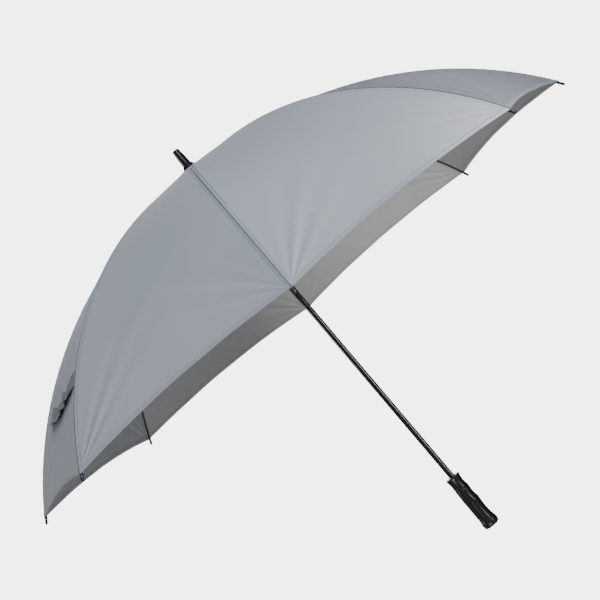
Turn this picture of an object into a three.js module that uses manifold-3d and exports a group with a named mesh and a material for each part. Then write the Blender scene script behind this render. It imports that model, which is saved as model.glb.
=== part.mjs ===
// A long manual golf umbrella, standing open on its handle: eight two-part ribs, eight
// stretchers and a runner on a steel tube, under a canopy of eight sewn panels.
// Millimetres, +Z up along the shaft towards the ferrule, origin at the middle of the
// handle's flat bottom end. Rib 1 lies along +X and the others follow every 45 degrees.
import * as THREE from "three";
import { mergeVertices } from "three/addons/utils/BufferGeometryUtils.js";
import Module from "manifold-3d";

const wasm = await Module();
wasm.setup();

// ---- Driving dimensions ----
const RIB_COUNT = 8;
const STEP_ANGLE = (2 * Math.PI) / RIB_COUNT;
const GAP = 0.4; // between pieces that touch

const SHAFT_R = 6;
const SHAFT_BORE_R = 5;
const SHAFT_BOTTOM_Z = 12;
const SHAFT_TOP_Z = 930;

const HINGE_RHO = 13; // radius of the hinge circle at the crown and on the runner
const CROWN_Z = 887;

// A rib's centre line: a straight root that slopes down a little, then one arc to the tip.
const RIB_R = 2;
const ROOT_SLOPE = THREE.MathUtils.degToRad(4);
const ROOT_LENGTH = 70;
const BEND_R = 751;
const JOINT_AT = 360; // length along the rib to the joint
const ROD_END = 742;
const CLOTH_END = 740;

const PIVOT_DROP = 6; // from the rib's centre line down to the stretcher's pin
const PIN_R = 1.2;
const WIRE_R = 0.6;

const CLOTH_LIFT = 3; // from a rib's centre line up to the cloth's inner face
const CLOTH = 1;
const HEM_RISE = 16; // how far the hem's middle is cut back from the line between two tips

const HANDLE_TOP_Z = 120;
const FERRULE_BASE_Z = 906.5;
const FERRULE_TOP_Z = 943;

const CATCH_ANGLE = 1.5 * STEP_ANGLE; // the two spring catches are between rib 2 and rib 3

// ---- Materials ----
const paint = (color, roughness, metalness) =>
  new THREE.MeshStandardMaterial({ color, roughness, metalness });
const FABRIC = paint(0x8f959c, 0.75, 0);
const FABRIC_STRAP = paint(0x868c90, 0.7, 0);
const BLACK_STEEL = paint(0x141416, 0.35, 0.8);
const BLACK_ROD = paint(0x121214, 0.45, 0);
const BLACK_PLASTIC = paint(0x171718, 0.5, 0);
const BLACK_RUBBER = paint(0x1b1b1c, 0.75, 0);
const SPRING_STEEL = paint(0x8c8f93, 0.3, 1);

// ---- Solids: three.js geometry in and out of manifold-3d ----
function solid(geometry) {
  const bare = geometry.index ? geometry.toNonIndexed() : geometry.clone();
  bare.deleteAttribute("normal");
  bare.deleteAttribute("uv");
  const merged = mergeVertices(bare, 1e-4);
  return new wasm.Manifold(
    new wasm.Mesh({
      numProp: 3,
      vertProperties: merged.attributes.position.array,
      triVerts: new Uint32Array(merged.index.array),
    }),
  );
}

function geometryOf(made) {
  const mesh = made.getMesh();
  const geometry = new THREE.BufferGeometry();
  geometry.setAttribute("position", new THREE.BufferAttribute(Float32Array.from(mesh.vertProperties), 3));
  geometry.setIndex(new THREE.BufferAttribute(mesh.triVerts, 1));
  const flat = geometry.toNonIndexed();
  flat.computeVertexNormals();
  return flat;
}

const placed = (geometry, matrix) => solid(geometry.clone().applyMatrix4(matrix));
const moved = (geometry, x, y, z) => placed(geometry, new THREE.Matrix4().makeTranslation(x, y, z));
const box = (x0, x1, y0, y1, z0, z1) =>
  moved(new THREE.BoxGeometry(x1 - x0, y1 - y0, z1 - z0), (x0 + x1) / 2, (y0 + y1) / 2, (z0 + z1) / 2);

// A cylinder along the tangential direction (Y), centred on x, z.
function crossPin(x, z, radius, length, sides = 12) {
  const turned = new THREE.CylinderGeometry(radius, radius, length, sides);
  return moved(turned, x, 0, z);
}

// A body of revolution about Z. Its profile is a list of [radius, z] that starts and ends
// on the axis or closes on itself.
function lathe(profile, sides) {
  const points = profile.map(([r, z]) => new THREE.Vector2(r, z));
  const upright = new THREE.Matrix4().makeRotationX(Math.PI / 2);
  return placed(new THREE.LatheGeometry(points, sides), upright);
}

const tube = (inner, outer, z0, z1, sides) =>
  lathe([[inner, z0], [outer, z0], [outer, z1], [inner, z1], [inner, z0]], sides);

const ring = (radius, wire, z, around, section) => {
  const geometry = new THREE.TorusGeometry(radius, wire, section, around);
  return moved(geometry, 0, 0, z);
};

function disc(radius, sides) {
  const shape = new THREE.Shape();
  shape.absarc(0, 0, radius, 0, 2 * Math.PI);
  return { shape, curveSegments: sides };
}

function rod(curve, radius, steps, sides = 4) {
  const { shape, curveSegments } = disc(radius, sides);
  const options = { extrudePath: curve, steps, curveSegments, bevelEnabled: false };
  return new THREE.ExtrudeGeometry(shape, options);
}

// ---- The rib's centre line, in a plane where x is the distance from the axis ----
const slopeAt = (length) => ROOT_SLOPE + Math.max(0, length - ROOT_LENGTH) / BEND_R;

// A point at `length` along the rib, lifted off its centre line by `lift`.
function ribPoint(length, lift = 0) {
  const slope = slopeAt(length);
  const root = Math.min(length, ROOT_LENGTH);
  const x = HINGE_RHO + root * Math.cos(ROOT_SLOPE) + BEND_R * (Math.sin(slope) - Math.sin(ROOT_SLOPE));
  const z = CROWN_Z - root * Math.sin(ROOT_SLOPE) - BEND_R * (Math.cos(ROOT_SLOPE) - Math.cos(slope));
  return new THREE.Vector3(x + lift * Math.sin(slope), 0, z + lift * Math.cos(slope));
}

class RibCurve extends THREE.Curve {
  constructor(from, to) {
    super();
    Object.assign(this, { from, to });
  }
  getPoint(t) {
    return ribPoint(this.from + (this.to - this.from) * t);
  }
}

const JOINT = ribPoint(JOINT_AT);
const JOINT_SLOPE = slopeAt(JOINT_AT);

// The stretcher's pin, and the runner's hinge, which makes an isosceles triangle with the crown's hinge.
const PIVOT = ribPoint(JOINT_AT, -PIVOT_DROP);
const RUNNER_Z = 2 * PIVOT.z - CROWN_Z;
const STRETCHER = Math.hypot(PIVOT.x - HINGE_RHO, PIVOT.z - RUNNER_Z);
const CLOSED_RUNNER_Z = CROWN_Z - 2 * STRETCHER;

// ---- Shaft group: tube, crown, ferrule, rain cap, handle ----
const TOP_CATCH = { shoulder: RUNNER_Z - 37, pivot: RUNNER_Z - 67, way: 1 };
const BOTTOM_CATCH = { shoulder: CLOSED_RUNNER_Z - 28.2, pivot: CLOSED_RUNNER_Z + 1.8, way: -1 };
const CATCH_WEDGE = 14;
const CATCH_HALF_WIDTH = 1.1;
const CATCH_CREST = 8.8;
const atCatch = (made) => made.rotate([0, 0, THREE.MathUtils.radToDeg(CATCH_ANGLE)]);

function catchSlot({ shoulder, way }) {
  const ends = [shoulder + way * 1.5, shoulder - way * (CATCH_WEDGE + 3)].sort((a, b) => a - b);
  return atCatch(box(3, 12, -1.6, 1.6, ends[0], ends[1]));
}

function makeShaft() {
  return tube(SHAFT_BORE_R, SHAFT_R, SHAFT_BOTTOM_Z, SHAFT_TOP_Z, 24)
    .subtract(catchSlot(TOP_CATCH))
    .subtract(catchSlot(BOTTOM_CATCH));
}

// Slots for the eyes of the ribs or stretchers, and the channel of the wire that they turn on.
function cutHinges(made, hingeZ) {
  const turn = THREE.MathUtils.radToDeg(STEP_ANGLE);
  const slot = box(8.8, 20, -1.6, 1.6, hingeZ - 12, hingeZ + 12);
  for (let k = 0; k < RIB_COUNT; k++) made = made.subtract(slot.rotate([0, 0, k * turn]));
  return made.subtract(ring(HINGE_RHO, 1, hingeZ, 32, 6));
}

function makeCrown() {
  const z = CROWN_Z;
  const bore = SHAFT_R + GAP;
  const bottom = z - 9;
  const top = z + 4.5;
  const outside = [[9, bottom], [15, z - 5], [15, z + 3], [13.5, top]];
  const profile = [[bore, bottom], ...outside, [bore, top], [bore, bottom]];
  return cutHinges(lathe(profile, 24), z);
}

const makeWire = (z) => ring(HINGE_RHO, WIRE_R, z, 48, 6);

function makeFerrule() {
  const z = FERRULE_BASE_Z;
  const bore = SHAFT_R + GAP;
  const roof = SHAFT_TOP_Z + 1;
  return lathe(
    [[bore, z], [9, z], [8.7, z + 12], [7.6, z + 30], [6.9, FERRULE_TOP_Z - 1.5], [5.4, FERRULE_TOP_Z],
      [0, FERRULE_TOP_Z], [0, roof], [bore, roof], [bore, z]],
    24,
  );
}

// The flared collar that clamps the canopy's centre.
function makeRainCap() {
  const z = FERRULE_BASE_Z - GAP;
  const bore = SHAFT_R + GAP;
  const flare = [[9.4, z - 2], [10.8, z - 5.4], [13, z - 5.4], [13, z - 4.6], [10.6, z - 1.2]];
  return lathe([[bore, z - 2], ...flare, [10, z], [bore, z], [bore, z - 2]], 24);
}

// The grip's radius at a height, and the finger grooves on its +X side.
const RIDGE_Z = [89, 61];
function gripRadius(z, angle) {
  const topFlare = 1.6 * Math.exp(-(((HANDLE_TOP_Z - z) / 9) ** 2));
  const belly = 1.5 / (1 + Math.exp((z - 88) / 5));
  const endFlare = 1.5 * Math.exp(-(((z - 9) / 8) ** 2));
  const fingers = Math.max(0, Math.cos(angle + 0.35));
  const within = (centre, half) => Math.min(1, Math.abs(z - centre) / half);
  const groove = (centre, half) => Math.max(0, Math.cos((Math.PI / 2) * within(centre, half)));
  const [upper, lower] = RIDGE_Z;
  const depth = 1.0 * groove((HANDLE_TOP_Z + upper) / 2, 15) + 1.9 * groove((upper + lower) / 2, 13.5) +
    1.7 * groove(lower - 24, 23);
  return 13.9 + topFlare + belly + endFlare - fingers * depth;
}

// A closed surface whose radius depends on height and angle, from z0 to z1.
function contoured(radiusAt, levels, sides) {
  const positions = [];
  const index = [];
  for (const z of levels)
    for (let i = 0; i < sides; i++) {
      const angle = (2 * Math.PI * i) / sides;
      const r = radiusAt(z, angle);
      positions.push(r * Math.cos(angle), r * Math.sin(angle), z);
    }
  const bottom = positions.length / 3;
  positions.push(0, 0, levels[0], 0, 0, levels.at(-1));
  for (let j = 0; j + 1 < levels.length; j++)
    for (let i = 0; i < sides; i++) {
      const a = j * sides + i;
      const b = j * sides + ((i + 1) % sides);
      index.push(a, b, a + sides, b, b + sides, a + sides);
    }
  const last = (levels.length - 1) * sides;
  for (let i = 0; i < sides; i++) {
    const next = (i + 1) % sides;
    index.push(bottom, next, i, bottom + 1, last + i, last + next);
  }
  const geometry = new THREE.BufferGeometry();
  geometry.setAttribute("position", new THREE.Float32BufferAttribute(positions, 3));
  geometry.setIndex(index);
  return geometry;
}

const GRIP_BOTTOM_Z = 5;
function makeGrip() {
  const levels = [];
  for (let z = GRIP_BOTTOM_Z; z < HANDLE_TOP_Z; z += 4.6) levels.push(z);
  levels.push(HANDLE_TOP_Z);
  const bore = tube(0, SHAFT_R + GAP, GRIP_BOTTOM_Z + 4, HANDLE_TOP_Z + 1, 24);
  return solid(contoured(gripRadius, levels, 24)).subtract(bore);
}

// A plug that closes the bottom of the grip, with a flat to rest on.
function makeEndCap() {
  const top = GRIP_BOTTOM_Z - GAP;
  const rim = gripRadius(GRIP_BOTTOM_Z, Math.PI) - 0.4;
  const profile = [[0, 0], [rim - 5, 0]];
  for (let i = 1; i <= 4; i++) {
    const turn = (i / 4) * (Math.PI / 2);
    profile.push([rim - 5 + 5 * Math.sin(turn), top - top * Math.cos(turn)]);
  }
  return lathe([...profile, [0, top]], 24);
}

// ---- Spring catches: a leaf inside the tube with a wedge that stands out of its slot ----
function makeCatch({ shoulder, pivot, way }) {
  const shape = new THREE.Shape();
  const leaf = [3.2, 4.2];
  shape.moveTo(leaf[0], pivot);
  shape.lineTo(leaf[1], pivot);
  shape.lineTo(leaf[1] + 0.3, shoulder - way * CATCH_WEDGE);
  shape.lineTo(CATCH_CREST, shoulder - way * 2.5);
  shape.lineTo(CATCH_CREST, shoulder);
  shape.lineTo(leaf[0], shoulder);
  shape.closePath();
  const depth = 2 * CATCH_HALF_WIDTH;
  const geometry = new THREE.ExtrudeGeometry(shape, { depth, bevelEnabled: false });
  const upright = new THREE.Matrix4().makeTranslation(0, CATCH_HALF_WIDTH, 0);
  return placed(geometry, upright.multiply(new THREE.Matrix4().makeRotationX(Math.PI / 2)));
}

// ---- Runner ----
function makeRunner() {
  const z = RUNNER_Z;
  const bore = SHAFT_R + GAP;
  const ring = [[13, z - 36], [13.4, z - 34], [13.4, z - 32], [11, z - 29]];
  const crown = [[11, z - 9], [15, z - 5], [15, z + 5], [9, z + 9]];
  const body = lathe(
    [[bore, z - 36], ...ring, ...crown, [bore, z + 9], [bore, z - 36]],
    24,
  );
  const window = atCatch(box(3, 14, -3, 3, z - 29, z - 12));
  return cutHinges(body, z).subtract(window);
}

// ---- One rib set, drawn in the XZ plane ----
// A flat eye about a hinge at (x, z), with a tongue of `reach` at `slope` below horizontal.
function eye(x, z, radius, hole, halfWidth, reach, halfHeight, slope) {
  const tongue = box(0, reach, -halfWidth, halfWidth, -halfHeight, halfHeight);
  const head = crossPin(0, 0, radius, 2 * halfWidth, 16);
  return head
    .add(tongue)
    .subtract(crossPin(0, 0, hole, 4 * halfWidth, 10))
    .rotate([0, THREE.MathUtils.radToDeg(slope), 0])
    .translate([x, 0, z]);
}

const ROD_GAP = 1.5; // each rod stops this far short of the rib joint's centre

// The clamp on the inner rod's end: a block round the rod, two ears and a rivet for the stretcher.
function makeClamp() {
  const ear = (side) => box(-11, 3.6, side > 0 ? 2.4 : -3.4, side > 0 ? 3.4 : -2.4, -9, 1.8);
  const block = box(-16, -4.2, -3.4, 3.4, -3.6, 2);
  const made = ear(1)
    .add(ear(-1))
    .add(block)
    .add(crossPin(0, -PIVOT_DROP, PIN_R, 6.8));
  return made.rotate([0, THREE.MathUtils.radToDeg(JOINT_SLOPE), 0]).translate([JOINT.x, 0, JOINT.z]);
}

function makeInnerRib() {
  return solid(rod(new RibCurve(9, JOINT_AT - ROD_GAP), RIB_R, 10))
    .add(eye(HINGE_RHO, CROWN_Z, 2.7, 1, 1.2, 14, 1.2, ROOT_SLOPE))
    .add(makeClamp());
}

const makeOuterRib = () => solid(rod(new RibCurve(JOINT_AT + ROD_GAP, ROD_END), RIB_R, 12));

// A tapered cap on the rib's end.
const TIP_OVERLAP = 5; // how far the cap's sleeve covers the rod
function makeRibTip() {
  const sleeve = RIB_R + GAP;
  const end = ribPoint(ROD_END);
  const inside = [[0, 0.6], [sleeve, 0.6], [sleeve, -TIP_OVERLAP]];
  const outside = [[2.7, -TIP_OVERLAP], [2.9, 0.6], [2.4, 9.5], [1.6, 11], [0, 11]];
  return lathe([...inside, ...outside, [0, 0.6]], 12)
    .rotate([0, 90 + THREE.MathUtils.radToDeg(slopeAt(ROD_END)), 0])
    .translate([end.x, 0, end.z]);
}

// A steel channel, open below, with an eye at each end, from the runner's hinge up to the rib's pin.
function makeStretcher() {
  const slope = -Math.atan2(PIVOT.z - RUNNER_Z, PIVOT.x - HINGE_RHO);
  const channel = box(13, STRETCHER - 11, -2.1, 2.1, -2, 2).subtract(box(12, STRETCHER, -1.3, 1.3, -3, 1.2));
  const head = (x, from, to, radius, hole) =>
    crossPin(x, 0, radius, 2.4, 16)
      .add(box(from, to, -1.2, 1.2, -1.6, 1.6))
      .subtract(crossPin(x, 0, hole, 5, 10));
  return channel
    .add(box(13, 20, -1.6, 1.6, -1.6, 1.6))
    .add(box(STRETCHER - 18, STRETCHER - 11, -1.6, 1.6, -1.6, 1.6))
    .add(head(0, 0, 14, 2.7, 1))
    .add(head(STRETCHER, STRETCHER - 14, STRETCHER, 2.8, PIN_R + GAP))
    .rotate([0, THREE.MathUtils.radToDeg(slope), 0])
    .translate([HINGE_RHO, 0, RUNNER_Z]);
}

// ---- Canopy ----
const PEAK_RISE = 8.6; // how far the rain cap draws the cloth up off the crown
const PEAK_REACH = 95; // how far along the rib that is felt
const CLOTH_START = -4; // length along the rib where the cloth begins, inside the hinge circle
const ROWS_ACROSS = 4;

// The cloth over a rib, `lift` above its centre line.
function clothOverRib(length, lift) {
  const point = ribPoint(length, lift);
  point.z += PEAK_RISE * Math.max(0, 1 - length / PEAK_REACH) ** 2;
  return point;
}

// A point of the panel from rib 1 to rib 2: `across` runs from 0 on one rib to 1 on the next.
function panelPoint(across, length, lift) {
  const over = clothOverRib(length, lift);
  const inset = GAP / 2 / over.x; // half the gap at the seam, as an angle
  const from = new THREE.Vector3(Math.cos(inset), Math.sin(inset), 0);
  const to = new THREE.Vector3(Math.cos(STEP_ANGLE - inset), Math.sin(STEP_ANGLE - inset), 0);
  const flat = from.lerp(to, across).multiplyScalar(over.x);
  return new THREE.Vector3(flat.x, flat.y, over.z);
}

// A closed strip: `section(t)` gives a ring of points in the same order at each of steps + 1 stations.
function strip(steps, section) {
  const positions = [];
  const index = [];
  let sides = 0;
  for (let i = 0; i <= steps; i++) {
    const points = section(i / steps);
    sides = points.length;
    for (const point of points) positions.push(...point.toArray());
  }
  for (let i = 0; i < steps; i++)
    for (let c = 0; c < sides; c++) {
      const a = i * sides + c;
      const b = i * sides + ((c + 1) % sides);
      index.push(a, b, a + sides, b, b + sides, a + sides);
    }
  const last = steps * sides;
  for (let c = 0; c + 1 < sides / 2; c++) {
    const d = sides - 1 - c;
    index.push(c, d, c + 1, c + 1, d, d - 1);
    index.push(last + c, last + c + 1, last + d, last + c + 1, last + d - 1, last + d);
  }
  const geometry = new THREE.BufferGeometry();
  geometry.setAttribute("position", new THREE.Float32BufferAttribute(positions, 3));
  geometry.setIndex(index);
  return solid(geometry);
}

// A panel's part between two lengths; the end is cut back towards the middle of the panel by `cutBack`.
function makeCloth(from, to, cutBack, steps) {
  return strip(steps, (t) => {
    const outer = [];
    const inner = [];
    for (let i = 0; i <= ROWS_ACROSS; i++) {
      const across = i / ROWS_ACROSS;
      const end = to - cutBack * 4 * across * (1 - across);
      const length = from + (end - from) * t;
      inner.push(panelPoint(across, length, CLOTH_LIFT));
      outer.unshift(panelPoint(across, length, CLOTH_LIFT + CLOTH));
    }
    return [...inner, ...outer];
  });
}

const makeInnerPanel = () => makeCloth(CLOTH_START, JOINT_AT - GAP / 2, 0, 9);
const makeOuterPanel = () => makeCloth(JOINT_AT + GAP / 2, CLOTH_END, HEM_RISE, 9);

// The tie strap starts at the seam over rib 6 and lies on the panel between rib 5 and rib 6.
const STRAP = { length: 565, width: 24, lift: 1.4, thick: 1.4, from: 0.97, to: 0.3, sag: 30 };
function makeStrap() {
  const base = CLOTH_LIFT + CLOTH + STRAP.lift;
  return strip(10, (t) => {
    const across = STRAP.from + (STRAP.to - STRAP.from) * t;
    const middle = STRAP.length + STRAP.sag * Math.sin(Math.PI * t * 0.8);
    const corner = (side, up) => panelPoint(across, middle + (side * STRAP.width) / 2, base + up);
    return [corner(-1, 0), corner(1, 0), corner(1, STRAP.thick), corner(-1, STRAP.thick)];
  });
}

// ---- Assembly ----
const umbrella = new THREE.Group();

function add(parent, name, made, material) {
  const mesh = new THREE.Mesh(geometryOf(made), material);
  mesh.name = name;
  parent.add(mesh);
}

add(umbrella, "shaft", makeShaft(), BLACK_STEEL);
add(umbrella, "crown_notch", makeCrown(), BLACK_PLASTIC);
add(umbrella, "crown_wire", makeWire(CROWN_Z), SPRING_STEEL);
add(umbrella, "ferrule", makeFerrule(), BLACK_PLASTIC);
add(umbrella, "rain_cap", makeRainCap(), BLACK_PLASTIC);
add(umbrella, "handle_grip", makeGrip(), BLACK_RUBBER);
add(umbrella, "handle_end_cap", makeEndCap(), BLACK_PLASTIC);
add(umbrella, "runner", makeRunner(), BLACK_PLASTIC);
add(umbrella, "runner_wire", makeWire(RUNNER_Z), SPRING_STEEL);

const catches = new THREE.Group();
catches.rotation.z = CATCH_ANGLE;
umbrella.add(catches);
add(catches, "top_spring_catch", makeCatch(TOP_CATCH), SPRING_STEEL);
add(catches, "bottom_spring_catch", makeCatch(BOTTOM_CATCH), SPRING_STEEL);

const ribParts = [
  ["rib_inner_", makeInnerRib(), BLACK_STEEL],
  ["rib_outer_", makeOuterRib(), BLACK_ROD],
  ["rib_tip_", makeRibTip(), BLACK_PLASTIC],
  ["stretcher_", makeStretcher(), BLACK_STEEL],
  ["panel_inner_", makeInnerPanel(), FABRIC],
  ["panel_outer_", makeOuterPanel(), FABRIC],
];
for (let k = 0; k < RIB_COUNT; k++) {
  const spoke = new THREE.Group();
  spoke.rotation.z = k * STEP_ANGLE;
  umbrella.add(spoke);
  for (const [name, made, material] of ribParts) add(spoke, name + (k + 1), made, material);
}

const strapSpoke = new THREE.Group();
strapSpoke.rotation.z = 4 * STEP_ANGLE;
umbrella.add(strapSpoke);
add(strapSpoke, "tie_strap", makeStrap(), FABRIC_STRAP);

export default umbrella;
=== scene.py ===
"""A long golf umbrella, open, in its studio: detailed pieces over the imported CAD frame.

Lengths in the building code are millimetres; meshes are scaled to metres as they are made. Rib 1 lies along +X and
the others follow every 45 degrees. `s` is the length along a rib from its crown hinge, and `u` runs from 0 on one
rib to 1 on the next.
"""
import math

import bpy
import numpy as np
from mathutils import Matrix, Vector


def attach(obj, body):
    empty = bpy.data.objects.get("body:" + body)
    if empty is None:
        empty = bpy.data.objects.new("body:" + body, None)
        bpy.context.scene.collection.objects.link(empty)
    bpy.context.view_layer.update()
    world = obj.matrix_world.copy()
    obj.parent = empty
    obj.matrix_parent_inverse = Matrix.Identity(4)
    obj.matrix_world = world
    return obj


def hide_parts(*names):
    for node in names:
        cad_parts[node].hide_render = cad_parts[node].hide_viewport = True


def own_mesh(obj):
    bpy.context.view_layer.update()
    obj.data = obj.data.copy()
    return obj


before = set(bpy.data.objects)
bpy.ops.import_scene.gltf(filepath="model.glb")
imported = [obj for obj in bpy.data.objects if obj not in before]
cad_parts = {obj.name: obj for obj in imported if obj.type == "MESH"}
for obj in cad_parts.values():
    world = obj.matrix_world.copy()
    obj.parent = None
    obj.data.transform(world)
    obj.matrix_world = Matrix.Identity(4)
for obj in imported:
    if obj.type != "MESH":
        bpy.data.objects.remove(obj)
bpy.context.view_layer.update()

MM = 0.001
RIBS = range(1, 9)
STEP = math.pi / 4
C22 = math.cos(STEP / 2)

# The rib's centre line, as in the CAD: a straight root, then one arc.
HINGE_R, CROWN_Z = 13.0, 887.0
ROOT_SLOPE, ROOT_LENGTH, BEND_R = math.radians(4), 70.0, 751.0
JOINT_AT, ROD_END = 360.0, 742.0
PIVOT_DROP = 6.0

CLOTH_START, CLOTH_END = -4.0, 740.0
CLOTH_LIFT, CLOTH_HALF = 3.5, 0.25  # the cloth's middle above the rib's centre line, and half its thickness
CLOTH_SMOOTH = 60
HEM_RISE, HEM_WIDTH = 16.0, 497.0
PANEL_TONE_AND_SHADE = (0, 0.3, -0.2, 0.2, -0.5, 0, 0.2, -1.6)  # how much lighter each panel is: a tone that differs from panel to panel, with painted shade darkening panel 8
SEAM_STITCH, STITCH_PITCH = 6.0, 3.8  # a stitch line's distance from its seam, and from stitch to stitch
PEAK_RISE, PEAK_REACH = 8.6, 95.0  # the rain cap draws the cloth up off the crown
TAPE_START, TAPE_LIFT, TAPE_HALF = 24.0, 2.45, 7.5
STRAP_AT, STRAP_HALF, STRAP_GORE = 562.0, 15.0, 390.0  # length along the rib, half width, the gore's width there

FERRULE_Z, TOP_Z = 906.5, 943.0
SHAFT_R, SHAFT_BORE, SHAFT_LOW, SHAFT_HIGH = 6.0, 5.0, 12.0, 930.0
SLOT_HALF, SLOT_FLOOR, NOTCH_BORE = 1.6, 8.8, 6.3
CATCH_ANGLE, CATCH_X = 1.5 * STEP, 3.2
WIRE_R = 0.55
GRIP_TOP, GRIP_LOW = 119.2, 5.4
EYE_ANGLES = [2 * math.pi * i / 28 for i in range(28)]
FLOOR_Z, FLOOR_R = -2600, 6000


# ---- Camera: at the photograph's angle, rolled, a little below the canopy's rim ----
def add_camera():
    elevation, roll, distance = math.radians(-2.18), math.radians(40.35), 2.9686
    look_at = Vector((-0.0029, 0, 0.566))
    forward = Vector((0, math.cos(elevation), -math.sin(elevation)))
    up = Vector((0, math.sin(elevation), math.cos(elevation)))
    right = Vector((1, 0, 0))
    camera_up = up * math.cos(roll) + right * math.sin(roll)
    camera_right = right * math.cos(roll) - up * math.sin(roll)
    camera = bpy.data.objects.new("camera", bpy.data.cameras.new("camera"))
    camera.data.lens = 92.63
    camera.data.sensor_width = 36
    axes = Matrix((camera_right, camera_up, -forward)).transposed()
    camera.matrix_world = Matrix.Translation(look_at - forward * distance) @ axes.to_4x4()
    bpy.context.scene.collection.objects.link(camera)
    bpy.context.scene.camera = camera


add_camera()


# ---- Curves of the frame ----
def slope(s):
    return ROOT_SLOPE + np.maximum(0, np.asarray(s, float) - ROOT_LENGTH) / BEND_R


def rib(s, lift=0.0):
    """(r, z) at a length along the rib, lifted off its centre line."""
    a = slope(s)
    root = np.minimum(s, ROOT_LENGTH)
    r = HINGE_R + root * math.cos(ROOT_SLOPE) + BEND_R * (np.sin(a) - math.sin(ROOT_SLOPE))
    z = CROWN_Z - root * math.sin(ROOT_SLOPE) - BEND_R * (math.cos(ROOT_SLOPE) - np.cos(a))
    return r + lift * np.sin(a), z + lift * np.cos(a)


def azimuth(k):
    return (k - 1) * STEP


def bell(x, centre, width):
    return np.exp(-(((x - centre) / width) ** 2))


def polar(radius, angle):
    return radius * math.cos(angle), radius * math.sin(angle)


def raised(profile, z):
    return [(radius, z + height) for radius, height in profile]


def turned(points, angle):
    """Points turned about the shaft."""
    p = np.asarray(points, float)
    c, s = math.cos(angle), math.sin(angle)
    return np.stack([p[..., 0] * c - p[..., 1] * s, p[..., 0] * s + p[..., 1] * c, p[..., 2]], axis=-1)


def tilted(points, angle, at):
    """Points drawn along +X, sloped down by angle, then moved to (x, z)."""
    p = np.asarray(points, float)
    c, s = math.cos(angle), math.sin(angle)
    x, z = p[..., 0] * c + p[..., 2] * s + at[0], p[..., 2] * c - p[..., 0] * s + at[1]
    return np.stack([x, p[..., 1], z], axis=-1)


def lying(p):
    """A body that was turned about Z, laid along +X."""
    return np.stack([p[..., 2], p[..., 0], p[..., 1]], axis=-1)


JOINT, JOINT_SLOPE = tuple(float(v) for v in rib(JOINT_AT)), float(slope(JOINT_AT))
ROD_TIP, ROD_TIP_SLOPE = tuple(float(v) for v in rib(ROD_END)), float(slope(ROD_END))
PIVOT = tuple(float(v) for v in rib(JOINT_AT, -PIVOT_DROP))
RUNNER_Z = 2 * PIVOT[1] - CROWN_Z
STRETCHER = math.hypot(PIVOT[0] - HINGE_R, PIVOT[1] - RUNNER_Z)
STRETCHER_SLOPE = -math.atan2(PIVOT[1] - RUNNER_Z, PIVOT[0] - HINGE_R)
CLOSED_RUNNER_Z = CROWN_Z - 2 * STRETCHER


# ---- Mesh making ----
class Shape:
    """Gathers vertices and faces, each face with a material number, into one piece."""

    def __init__(self):
        self.points, self.faces, self.numbers, self.uvs, self.tones = [], [], [], [], []
        self.count = 0

    def add(self, points, faces, number=0, uv=None, tone=None):
        points = np.asarray(points, float).reshape(-1, 3)
        self.points.append(points)
        self.uvs.append(np.zeros((len(points), 2)) if uv is None else np.asarray(uv, float).reshape(-1, 2))
        self.tones.append(np.zeros(len(points)) if tone is None else np.asarray(tone, float).ravel())
        self.faces += [tuple(i + self.count for i in face) for face in faces]
        self.numbers += [number] * len(faces)
        self.count += len(points)
        return self

    def grid(self, points, number=0, wrap=False, flip=False, uv=None, tone=None):
        """Quads over points[row, column]; wrap joins the last column to the first."""
        rows, columns = points.shape[:2]
        faces = []
        for i in range(rows - 1):
            for j in range(columns if wrap else columns - 1):
                a, b = i * columns + j, i * columns + (j + 1) % columns
                face = (a, a + columns, b + columns, b)
                faces.append(face[::-1] if flip else face)
        return self.add(points, faces, number, uv, tone)

    def loft(self, rings, uv=None):
        """A closed solid through rings[station, point], capped at both ends."""
        stations, around = rings.shape[:2]
        self.grid(rings, wrap=True, uv=uv)
        base = self.count - stations * around
        self.faces.append(tuple(base + i for i in range(around)))
        self.faces.append(tuple(base + (stations - 1) * around + i for i in reversed(range(around))))
        self.numbers += [0, 0]
        return self

    def build(self, name, materials, smooth_angle=35):
        mesh = bpy.data.meshes.new(name)
        mesh.from_pydata((np.concatenate(self.points) * MM).tolist(), [], self.faces)
        layer = mesh.uv_layers.new(name="flat")
        loops = np.zeros(len(mesh.loops), np.int32)
        mesh.loops.foreach_get("vertex_index", loops)
        layer.data.foreach_set("uv", (np.concatenate(self.uvs) * MM)[loops].ravel())
        mesh.attributes.new("tone", "FLOAT", "POINT").data.foreach_set("value", np.concatenate(self.tones))
        for material in materials:
            mesh.materials.append(material)
        mesh.polygons.foreach_set("material_index", self.numbers)
        mesh.validate()
        mesh.set_sharp_from_angle(angle=math.radians(smooth_angle))
        mesh.update()
        piece = bpy.data.objects.new(name, mesh)
        bpy.context.scene.collection.objects.link(piece)
        return piece


def ring(radius, sides):
    angles = np.arange(sides) * 2 * math.pi / sides
    return np.stack([np.cos(angles), np.sin(angles)], axis=-1) * radius


def revolve(shape, profile, sides=48, place=None):
    """A closed profile of (radius, z) turned about Z. place maps the points to where they go."""
    rings = np.array([[*ring(max(r, 1e-3), sides).T, np.full(sides, z)] for r, z in profile]).transpose(0, 2, 1)
    return shape.grid(place(rings) if place else rings, wrap=True)


def sweep(shape, s_values, radius, angle):
    """A round rod along the rib's centre line."""
    rings = []
    for s in s_values:
        r, z = rib(s)
        a = float(slope(s))
        rings.append([(r + y * math.sin(a), x, z + y * math.cos(a)) for x, y in ring(radius, 14)])
    return shape.loft(turned(rings, angle))


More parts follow.
